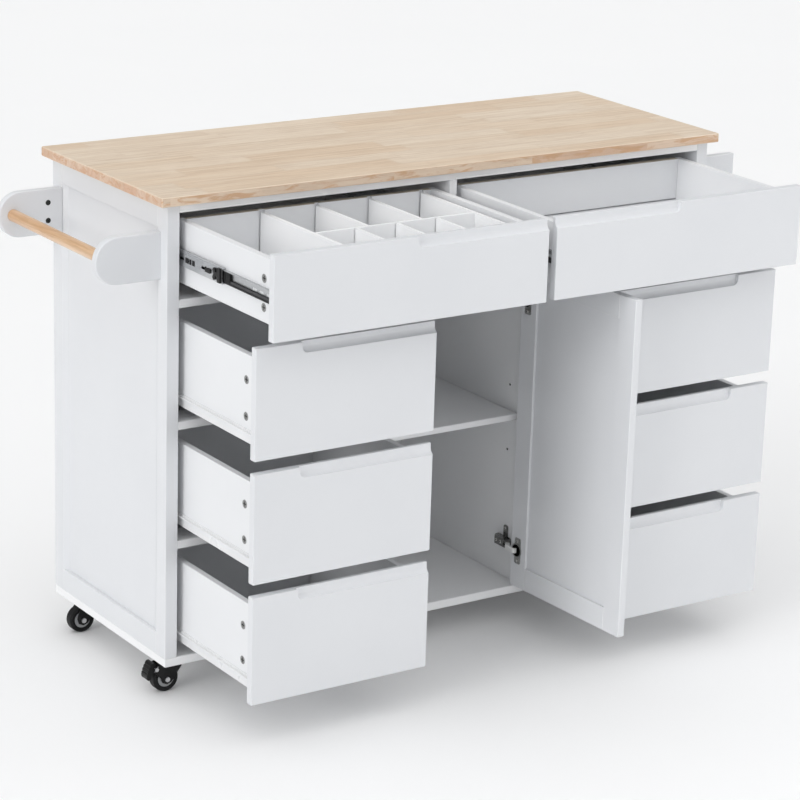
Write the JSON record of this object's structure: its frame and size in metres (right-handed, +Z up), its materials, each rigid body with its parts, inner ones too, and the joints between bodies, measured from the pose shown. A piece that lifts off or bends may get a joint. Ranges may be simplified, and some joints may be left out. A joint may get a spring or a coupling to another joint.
{
  "type": "kitchen cart",
  "caption": "White kitchen cart on swivel casters with a jointed wood worktop, inset drawers with routed finger pulls, a hinged cupboard door, a towel rack and a spice rack.",
  "frame": {"origin": "on the floor under the middle of the box around the cart as it stands with its drawers and door open", "axes": "+Z up, +X to the cart's right seen from its front, +Y from its front to its back"},
  "size_m": [1.3754, 0.7522, 0.92],
  "materials": {
    "white_board": "satin white paint on fibreboard",
    "finger_jointed_wood": "finger-jointed hardwood under satin clear lacquer",
    "slide_steel": "zinc-plated roll-formed steel",
    "runner_enamel": "white baked enamel",
    "caster_black": "moulded black plastic, fine texture",
    "caster_steel": "pressed zinc-plated steel",
    "wheel_plastic": "moulded nylon tread with a light grey hub ring",
    "fitting_steel": "nickel-plated steel"
  },
  "bodies": {
    "cabinet": {"countertop": "finger_jointed_wood", "side_frames": "white_board", "side_panels": "white_board", "bottom_panel": "white_board", "back_panel": "white_board", "mid_deck": "white_board", "upper_divider": "white_board", "cross_rails": "white_board", "lower_dividers": "white_board", "adjustable_shelf": "white_board", "shelf_pins": "fitting_steel", "towel_brackets": "white_board", "bracket_nuts": "fitting_steel", "towel_bar": "finger_jointed_wood", "spice_rack": "white_board", "caster_plates": "caster_steel", "slide_outers": "slide_steel", "runner_rails": "runner_enamel", "hinge_arms": "fitting_steel"},
    "top_left_drawer": {"top_left_drawer_front": "white_board", "top_left_drawer_box": "white_board", "top_left_slide_inner": "slide_steel", "cutlery_dividers": "white_board"},
    "top_left_slide": {"top_left_slide_middle": "slide_steel"},
    "top_right_drawer": {"top_right_drawer_front": "white_board", "top_right_drawer_box": "white_board", "top_right_slide_inner": "slide_steel"},
    "top_right_slide": {"top_right_slide_middle": "slide_steel"},
    "left_upper_drawer": {"left_upper_drawer_front": "white_board", "left_upper_drawer_box": "white_board", "left_upper_runner_set": "runner_enamel"},
    "left_middle_drawer": {"left_middle_drawer_front": "white_board", "left_middle_drawer_box": "white_board", "left_middle_runner_set": "runner_enamel"},
    "left_lower_drawer": {"left_lower_drawer_front": "white_board", "left_lower_drawer_box": "white_board", "left_lower_runner_set": "runner_enamel"},
    "right_upper_drawer": {"right_upper_drawer_front": "white_board", "right_upper_drawer_box": "white_board", "right_upper_runner_set": "runner_enamel"},
    "right_middle_drawer": {"right_middle_drawer_front": "white_board", "right_middle_drawer_box": "white_board", "right_middle_runner_set": "runner_enamel"},
    "right_lower_drawer": {"right_lower_drawer_front": "white_board", "right_lower_drawer_box": "white_board", "right_lower_runner_set": "runner_enamel"},
    "door": {"door_frame": "white_board", "door_panel": "white_board", "hinge_cups": "fitting_steel"},
    "hinge_link": {"hinge_links": "fitting_steel"},
    "caster_front_left": {"caster_fork_front_left": "caster_black"},
    "wheel_front_left": {"caster_wheel_front_left": "wheel_plastic"},
    "caster_front_right": {"caster_fork_front_right": "caster_black"},
    "wheel_front_right": {"caster_wheel_front_right": "wheel_plastic"},
    "caster_rear_left": {"caster_fork_rear_left": "caster_black"},
    "wheel_rear_left": {"caster_wheel_rear_left": "wheel_plastic"},
    "caster_rear_right": {"caster_fork_rear_right": "caster_black"},
    "wheel_rear_right": {"caster_wheel_rear_right": "wheel_plastic"},
    "brake_front_left": {"brake_pedal_front_left": "caster_black"},
    "brake_front_right": {"brake_pedal_front_right": "caster_black"}
  },
  "joints": [
    {"name": "top_left_drawer_slide", "type": "slide", "parent": "cabinet", "child": "top_left_drawer", "axis": [0, -1, 0], "range_m": [-0.307, 0.013]},
    {"name": "top_left_slide_travel", "type": "slide", "parent": "cabinet", "child": "top_left_slide", "axis": [0, -1, 0], "range_m": [-0.1535, 0.0065]},
    {"name": "top_right_drawer_slide", "type": "slide", "parent": "cabinet", "child": "top_right_drawer", "axis": [0, -1, 0], "range_m": [-0.303, 0.017]},
    {"name": "top_right_slide_travel", "type": "slide", "parent": "cabinet", "child": "top_right_slide", "axis": [0, -1, 0], "range_m": [-0.1515, 0.0085]},
    {"name": "left_upper_drawer_slide", "type": "slide", "parent": "cabinet", "child": "left_upper_drawer", "axis": [0, -1, 0], "range_m": [-0.255, 0.01]},
    {"name": "left_middle_drawer_slide", "type": "slide", "parent": "cabinet", "child": "left_middle_drawer", "axis": [0, -1, 0], "range_m": [-0.255, 0.01]},
    {"name": "left_lower_drawer_slide", "type": "slide", "parent": "cabinet", "child": "left_lower_drawer", "axis": [0, -1, 0], "range_m": [-0.255, 0.01]},
    {"name": "right_upper_drawer_slide", "type": "slide", "parent": "cabinet", "child": "right_upper_drawer", "axis": [0, -1, 0], "range_m": [-0.248, 0.017]},
    {"name": "right_middle_drawer_slide", "type": "slide", "parent": "cabinet", "child": "right_middle_drawer", "axis": [0, -1, 0], "range_m": [-0.248, 0.017]},
    {"name": "right_lower_drawer_slide", "type": "slide", "parent": "cabinet", "child": "right_lower_drawer", "axis": [0, -1, 0], "range_m": [-0.248, 0.017]},
    {"name": "door_hinge", "type": "hinge", "parent": "cabinet", "child": "door", "pos_m": [0.1977, -0.0579, 0.401], "axis": [0, 0, 1], "range_deg": [-92.5, 0]},
    {"name": "hinge_link_turn", "type": "hinge", "parent": "cabinet", "child": "hinge_link", "pos_m": [0.1917, -0.0374, 0.401], "axis": [0, 0, 1], "range_deg": [-70.3, 0]},
    {"name": "front_left_swivel", "type": "hinge", "parent": "cabinet", "child": "caster_front_left", "pos_m": [-0.5183, -0.0109, 0.055], "axis": [0, 0, 1], "continuous": true},
    {"name": "front_left_wheel_spin", "type": "hinge", "parent": "caster_front_left", "child": "wheel_front_left", "pos_m": [-0.5383, -0.0109, 0.025], "axis": [0, 1, 0], "continuous": true},
    {"name": "front_right_swivel", "type": "hinge", "parent": "cabinet", "child": "caster_front_right", "pos_m": [0.5577, -0.0109, 0.055], "axis": [0, 0, 1], "continuous": true},
    {"name": "front_right_wheel_spin", "type": "hinge", "parent": "caster_front_right", "child": "wheel_front_right", "pos_m": [0.5377, -0.0109, 0.025], "axis": [0, 1, 0], "continuous": true},
    {"name": "rear_left_swivel", "type": "hinge", "parent": "cabinet", "child": "caster_rear_left", "pos_m": [-0.5183, 0.3121, 0.055], "axis": [0, 0, 1], "continuous": true},
    {"name": "rear_left_wheel_spin", "type": "hinge", "parent": "caster_rear_left", "child": "wheel_rear_left", "pos_m": [-0.5383, 0.3121, 0.025], "axis": [0, 1, 0], "continuous": true},
    {"name": "rear_right_swivel", "type": "hinge", "parent": "cabinet", "child": "caster_rear_right", "pos_m": [0.5577, 0.3121, 0.055], "axis": [0, 0, 1], "continuous": true},
    {"name": "rear_right_wheel_spin", "type": "hinge", "parent": "caster_rear_right", "child": "wheel_rear_right", "pos_m": [0.5377, 0.3121, 0.025], "axis": [0, 1, 0], "continuous": true},
    {"name": "front_left_brake_press", "type": "hinge", "parent": "caster_front_left", "child": "brake_front_left", "pos_m": [-0.5593, -0.0109, 0.047], "axis": [0, 1, 0], "range_deg": [0, 18]},
    {"name": "front_right_brake_press", "type": "hinge", "parent": "caster_front_right", "child": "brake_front_right", "pos_m": [0.5167, -0.0109, 0.047], "axis": [0, 1, 0], "range_deg": [0, 18]}
  ],
  "couplings": [
    {"joint": "top_left_slide_travel", "follows": "top_left_drawer_slide", "ratio": 0.5},
    {"joint": "top_right_slide_travel", "follows": "top_right_drawer_slide", "ratio": 0.5},
    {"joint": "hinge_link_turn", "follows": "door_hinge", "ratio": 0.76}
  ]
}
